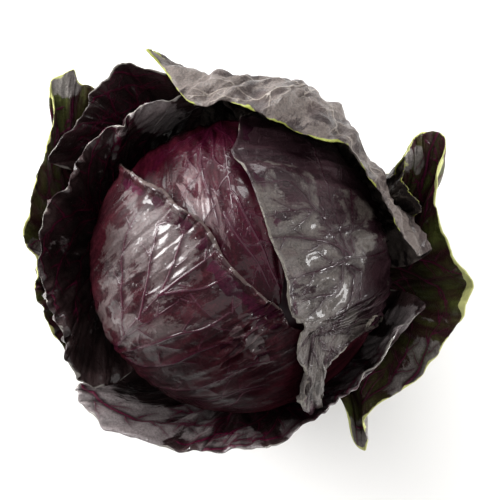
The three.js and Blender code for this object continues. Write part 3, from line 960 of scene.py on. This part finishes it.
    # a film of water lies over parts of the leaf, its veins and its rim, with drops
    wetNoise = add("TexNoise", {
        "Vector": solid, "Scale": perMetre["wet"], "Detail": 6.0, "Roughness": 0.6,
        "Distortion": 0.5})
    wet = add("MapRange", {
        "Value": wetNoise, "From Min": 0.48, "From Max": 0.51, "To Max": look["wet"]}, **smoothly)
    dropCell = add("TexVoronoi", {"Vector": solid, "Scale": perMetre["drops"]}, output="Distance")
    drop = add("MapRange", {"Value": dropCell, "From Min": 0.2, "From Max": 0.05}, **smoothly)
    wetRidge = add("Math", {0: line, 1: 0.7}, **times)
    nearRim = add("MapRange", {
        "Value": edge, "From Min": 5.0, "From Max": 14.0, "To Min": 1.0, "To Max": 0.15})
    outerSide = add("Math", {0: 1.0, 1: inside}, operation="SUBTRACT")
    wettable = add("Math", {0: nearRim, 1: outerSide}, operation="MAXIMUM")
    wet = add("Math", {0: wet, 1: drop}, operation="MAXIMUM")
    wet = add("Math", {0: wet, 1: wetRidge}, operation="MAXIMUM")
    wet = add("Math", {0: wet, 1: wettable}, **times)
    wet = add("Math", {0: wet, 1: glossOutsidePaintedShade}, **times)

    fineSkin = add("TexNoise", {
        "Vector": solid, "Scale": perMetre["fineSkin"], "Detail": 8.0, "Roughness": 0.7})
    heights = line
    for height, amount in ((netLine, 0.3), (fineLine, 0.15), (fineSkin, 2.2)):
        heights = add("Math", {0: height, 1: amount, 2: heights}, **timesPlus)
    relief = add("Bump", {"Height": heights, "Strength": look["bump"], "Distance": reliefDepth})
    film = add("Math", {0: drop, 1: 1.6, 2: line}, **timesPlus)
    filmRelief = add("Bump", {"Height": film, "Strength": 0.6, "Distance": reliefDepth})
    shader = add("BsdfPrincipled", {
        "Base Color": colour, "Roughness": rough, "IOR": skinIor, "Normal": relief,
        "Specular IOR Level": gloss, "Coat Weight": wet, "Coat Roughness": 0.09,
        "Coat IOR": skinIor, "Coat Normal": filmRelief})
    add("OutputMaterial", {"Surface": shader}, output=None)
    return material


# The dense heart seen in the gap is dark purple leaf; the cut stalk is pale, fibrous and browned
plainLooks = {
    "inner_head": {"deep": "#16060c", "light": "#33101d", "patchSize": 14, "stretch": (1, 1, 0.3),
                   "rough": 0.45, "relief": 0.0006},
    "stem": {"deep": "#6f6648", "light": "#b3aa86", "patchSize": 5, "stretch": (1, 1, 0.25),
             "rough": 0.7, "relief": 0.0004},
}


def plainMaterial(name, look):
    material = newMaterial(name)
    add = partial(addNode, material.node_tree)
    solid = add("TexCoord", output="Object")
    stretched = add("Mapping", {"Vector": solid, "Scale": look["stretch"]})
    patches = add("TexNoise", {
        "Vector": stretched, "Scale": 1000 / look["patchSize"], "Detail": 8.0, "Roughness": 0.65})
    share = add("MapRange", {"Value": patches, "From Min": 0.35, "From Max": 0.65})
    colour = add("Mix", {0: share, 6: linear(look["deep"]), 7: linear(look["light"])}, **blend)
    relief = add("Bump", {"Height": patches, "Distance": look["relief"]})
    shader = add("BsdfPrincipled", {
        "Base Color": colour, "Roughness": look["rough"], "IOR": skinIor, "Normal": relief})
    add("OutputMaterial", {"Surface": shader}, output=None)
    return material


materials = {name: leafMaterial(name, look) for name, look in looks.items()}
plainMaterials = {name: plainMaterial(name, look) for name, look in plainLooks.items()}
print("materials ready")


# Soft round spots, each given by where it is seen from above, its radius and its height
def softSpots(sheet, spots, elsewhere):
    x, y = seenFromAbove(sheet)
    total = np.full(x.shape, float(elsewhere))
    for spotX, spotY, radius, height in spots:
        away = np.hypot(x - spotX, y - spotY) / radius
        total = total + (height - total) * np.exp(-away ** 4)
    return total


# A leaf's rows, up the outer face and down the inner one, closer together near the margin
def rowsOf(outerRows, innerRows):
    up = 1 - (1 - np.linspace(0, 1, outerRows + 1)) ** cutting["rowCrowding"]
    down = 1 - (1 - np.linspace(1, 0, innerRows + 1)) ** cutting["rowCrowding"]
    inside = np.concatenate([np.zeros(outerRows + 1), np.ones(innerRows + 1)])
    return np.concatenate([up, down]), inside


# What is known along the fine sheet's rows, read at the leaf's own rows
def atRows(fine, along):
    rowAt = along * cutting["fineRows"]
    low = np.minimum(rowAt.astype(int), cutting["fineRows"] - 1)
    part = (rowAt - low)[None, :, None]
    return fine[:, low] * (1 - part) + fine[:, low + 1] * part


# What the veins give each point: how strongly it lies on one, how far to one side of it, how
# high the rib stands there, and how far away the nearest main vein is
def veinFields(leaf, fineSheet, sheet, normal):
    points, facing = sheet.reshape(-1, 3), normal.reshape(-1, 3)
    beside = cutting["besideVein"]
    mask, sideGap = np.zeros(len(points)), np.full(len(points), beside)
    ridge, away = np.zeros(len(points)), np.full(len(points), cutting["farFromVein"])
    for width, height, strength, line in veinsOf(leaf, fineSheet, leaf["seed"]):
        gap, index = nearest(points, line, cutting["veinReach"])
        taper = 1 - cutting["veinTaper"] * index / len(line)
        tangent = np.gradient(line, axis=0)[index]
        tangent /= np.linalg.norm(tangent, axis=1, keepdims=True)
        offset = np.sum(np.cross(facing, tangent) * (points - line[index]), axis=1)
        value = strength * taper * np.exp(-(gap / cutting["veinWidth"]) ** 2)
        sideGap = np.where(value > mask, np.clip(offset, -beside, beside), sideGap)
        mask = np.maximum(mask, value)
        ribWidth = max(width, cutting["leastRib"])
        ridge = np.maximum(ridge, height * taper * np.exp(-(gap / ribWidth) ** 2))
        if strength == 1:
            away = np.minimum(away, gap)
    return (field.reshape(sheet.shape[:2]) for field in (mask, sideGap, ridge, away))


# Where each point is on the flattened leaf, in millimetres across and along
def strandsOf(fineSheet, share, along):
    shape = len(share), len(along)
    marginLength = np.linalg.norm(np.diff(fineSheet[:, -1], axis=0), axis=1).sum()
    leafLength = np.linalg.norm(np.diff(fineSheet[shape[0] // 2], axis=0), axis=1).sum()
    across = (share - 0.5) * marginLength * cutting["strandWidth"]
    return np.stack([np.broadcast_to(across, shape),
                     np.broadcast_to(along[None] * leafLength, shape),
                     np.zeros(shape)], axis=-1)


# The puckers and the quilting between the main veins, flat towards the margin and the foot
def puckersOf(leaf, sheet, along, edge, away, flat):
    puckerHeight, acrossSize, alongSize = leaf["pucker"]
    seed = leaf["seed"]
    stretch = (1, acrossSize / alongSize, 1)
    folds = ripple(flat, acrossSize, seed, stretch)
    folds = folds - 0.7 * np.abs(ripple(flat, acrossSize * 0.7, seed + 1, stretch))
    smooth = 1 - softSpots(sheet, leaf.get("smooth", []), 0)
    pucker = puckerHeight * folds.reshape(edge.shape) * smooth
    quiltHeight, quiltWidth = leaf.get("quilt", cutting["quilt"])
    quilt = quiltHeight * (1 - np.exp(-(away / quiltWidth) ** 2))
    calm = np.clip(edge / cutting["calmRim"], 0, 1) * np.clip(along[None] * 3 - 0.6, 0, 1)
    return (pucker + quilt - quiltHeight / 2) * calm


# The rolled and wrinkled rim, and creases in soft spots
def rimFolds(leaf, sheet, share, edge, free, flat):
    seed = leaf["seed"]
    shift = np.zeros(edge.shape)
    if "curl" in leaf:
        height, width = leaf["curl"]
        uneven = 1 + 0.3 * wander(share, cutting["curlCounts"], seed + 3)
        shift = shift + height * uneven * np.exp(-(edge / width) ** 2) * free
    if "crimp" in leaf:
        wrinkles = ripple(flat, cutting["crimpSize"], seed + 4, (1, 0.25, 1)).reshape(edge.shape)
        nearRim = np.exp(-(edge / cutting["crimpReach"]) ** 2) * np.clip(edge, 0, 1)
        shift = shift + leaf["crimp"] * wrinkles * nearRim * free
    for number, (x, y, radius, height, size) in enumerate(leaf.get("crumple", [])):
        creases = ripple(flat, size * 1.6, seed + 20 + number, (1, 0.4, 1)).reshape(edge.shape)
        spot = softSpots(sheet, [(x, y, radius, height)], 0) * np.clip(edge, 0, 1)
        shift = shift + spot * (0.5 - np.abs(creases))
    return shift


# Half the leaf's thickness, thin at the rim but for a bead along it, and closed at its ends
def halfThickness(leaf, share, along, edge, free):
    least = cutting["rimThickness"]
    thin = np.sqrt(np.clip(edge / cutting["roundRim"], 0, 1)) * (1 - least) + least
    thin = thin * np.where((share == 0) | (share == 1), 0, 1)
    thin = thin * np.where(along[None] == 0, 0, 1)
    beadHeight, beadWidth = leaf.get("bead", cutting["bead"])
    bead = beadHeight * np.exp(-((edge - beadWidth) / beadWidth) ** 2) * free
    return (leaf.get("thickness", cutting["thickness"]) / 2 + bead) * thin


# A grid moved to the given points, with its seams merged and the values kept on its vertices
def meshOf(name, points, values, strand):
    shape = points.shape[:2]
    bm = bmesh.new()
    bmesh.ops.create_grid(bm, x_segments=shape[0] - 1, y_segments=shape[1] - 1, size=1)
    mesh = bpy.data.meshes.new(name)
    bm.to_mesh(mesh)
    bm.free()
    corners = np.zeros(len(mesh.vertices) * 3, np.float32)
    mesh.vertices.foreach_get("co", corners)
    corners = corners.reshape(-1, 3)
    i = np.rint((corners[:, 0] + 1) / 2 * (shape[0] - 1)).astype(int)
    j = np.rint((corners[:, 1] + 1) / 2 * (shape[1] - 1)).astype(int)
    mesh.vertices.foreach_set("co", (points[i, j] * metres).astype(np.float32).ravel())
    for label, value in values.items():
        layer = mesh.attributes.new(label, "FLOAT", "POINT")
        layer.data.foreach_set("value", value[i, j].astype(np.float32))
    layer = mesh.attributes.new("strand", "FLOAT_VECTOR", "POINT")
    layer.data.foreach_set("vector", (strand[i, j] * metres).astype(np.float32).ravel())
    bm = bmesh.new()
    bm.from_mesh(mesh)
    bmesh.ops.remove_doubles(bm, verts=bm.verts, dist=1e-6)
    bmesh.ops.recalc_face_normals(bm, faces=bm.faces)
    bm.to_mesh(mesh)
    bm.free()
    mesh.polygons.foreach_set("use_smooth", np.ones(len(mesh.polygons), bool))
    return mesh


# One closed leaf, in the place of its solid
def makeLeaf(name, leaf):
    columns = columnsOf(leaf, leaf["columns"])
    share = columns["share"][:, None]
    along, inside = rowsOf(*leaf["rows"])
    fineSheet = sheetOf(leaf, columns, np.linspace(0, 1, cutting["fineRows"] + 1))
    sheet = sheetOf(leaf, columns, along)
    normal = atRows(normalsOf(fineSheet), along)

    border = np.concatenate([fineSheet[0, ::3], fineSheet[:, -1], fineSheet[-1, ::3]])
    edge = nearest(sheet.reshape(-1, 3), border, cutting["marginReach"])[0]
    edge = np.minimum(edge, cutting["farthest"]).reshape(sheet.shape[:2])
    mask, sideGap, ridge, away = veinFields(leaf, fineSheet, sheet, normal)
    strand = strandsOf(fineSheet, share, along)
    flat = strand.reshape(-1, 3)

    # rims only roll and thicken where they lie free
    firstFree, lastFree = leaf.get("freeMargin", (0, len(leaf["margin"])))
    position = columns["position"][:, None]
    free = np.clip(position - firstFree + 1, 0, 1) * np.clip(lastFree + 1 - position, 0, 1)
    free = free * np.clip(along[None] * 4 - 2, 0, 1)

    shift = puckersOf(leaf, sheet, along, edge, away, flat) + ridge * np.clip(edge / 2, 0, 1)
    shift = shift + rimFolds(leaf, sheet, share, edge, free, flat)
    half = halfThickness(leaf, share, along, edge, free)
    toMidrib = np.linalg.norm(sheet - sheet[len(share) // 2][None], axis=-1)
    rib = leaf.get("ribHeight", 0) * (1 - along)[None]
    rib = rib * np.exp(-(toMidrib / head["ribReach"]) ** 2)
    face = np.where(inside[None] > 0.5, -half, half + rib)

    elsewhere = leaf.get("waxElsewhere", cutting["waxElsewhere"])
    values = {
        "vein": mask,
        "veinSide": sideGap,
        "edge": edge,
        "margin": edge - softSpots(sheet, leaf.get("pale", []), 0),
        # spots of painted shade, then wax bloom whose given spots in places also paint light
        "paintedShade": softSpots(sheet, leaf.get("paintedShade", []), 0),
        "waxAndPaintedLight": softSpots(sheet, leaf.get("waxAndPaintedLight", []), elsewhere),
        "inside": np.broadcast_to(inside[None], edge.shape),
    }
    mesh = meshOf(name + "_fine", sheet + normal * (shift + face)[..., None], values, strand)
    piece = bpy.data.objects.new(name + "_fine", mesh)
    bpy.context.scene.collection.objects.link(piece)
    mesh.materials.append(materials[leaf["look"]])
    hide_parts(name)
    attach(piece, "root")
    return piece


for name, leaf in leaves.items():
    piece = makeLeaf(name, leaf)
    print(name, len(piece.data.polygons) * 2, "triangles")

for name in ("stem", "inner_head"):
    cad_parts[name].data.materials.clear()
    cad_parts[name].data.materials.append(plainMaterials[name])


# A plain pale floor
floorMaterial = newMaterial("pale_matt_paint")
tree = floorMaterial.node_tree
paint = addNode(tree, "BsdfPrincipled", {"Base Color": linear("#f4f3f1"), "Roughness": 0.9})
addNode(tree, "OutputMaterial", {"Surface": paint}, output=None)
bm = bmesh.new()
bmesh.ops.create_grid(bm, x_segments=2, y_segments=2, size=3)
mesh = bpy.data.meshes.new("floor")
bm.to_mesh(mesh)
bm.free()
floor = bpy.data.objects.new("floor", mesh)
bpy.context.scene.collection.objects.link(floor)
mesh.materials.append(floorMaterial)

# Soft boxes round the head, and a dim white room
roomBrightness = 0.24
lights = {
    "left": {"at": (-0.85, 0.38, 0.4), "size": 0.5, "power": 18},
    "right": {"at": (0.9, -0.25, 0.3), "size": 0.3, "power": 8},
    "back": {"at": (-0.1, 0.95, 0.45), "size": 0.5, "power": 9},
    "above": {"at": (0.1, 0.0, 1.5), "size": 3.0, "power": 20},
}
aim = Vector((0, 0, 0.1))
for name, light in lights.items():
    data = bpy.data.lights.new(name, "AREA")
    data.shape = "SQUARE"
    data.size = light["size"]
    data.energy = light["power"]
    lamp = bpy.data.objects.new(name, data)
    lamp.location = light["at"]
    lamp.rotation_euler = (aim - lamp.location).to_track_quat("-Z", "Y").to_euler()
    bpy.context.scene.collection.objects.link(lamp)

world = bpy.data.worlds.new("room")
world.use_nodes = True
background = world.node_tree.nodes["Background"]
background.inputs["Color"].default_value = (1, 1, 1, 1)
background.inputs["Strength"].default_value = roomBrightness
bpy.context.scene.world = world
bpy.context.scene.view_settings.view_transform = "Standard"

cameraData = bpy.data.cameras.new("camera")
cameraData.lens = camera["lens"]
cameraData.sensor_width = camera["sensor"]
cameraObject = bpy.data.objects.new("camera", cameraData)
cameraObject.location = (
    camera["x"] * metres,
    camera["y"] * metres,
    (head["centreHeight"] + camera["distance"]) * metres,
)
bpy.context.scene.collection.objects.link(cameraObject)
bpy.context.scene.camera = cameraObject
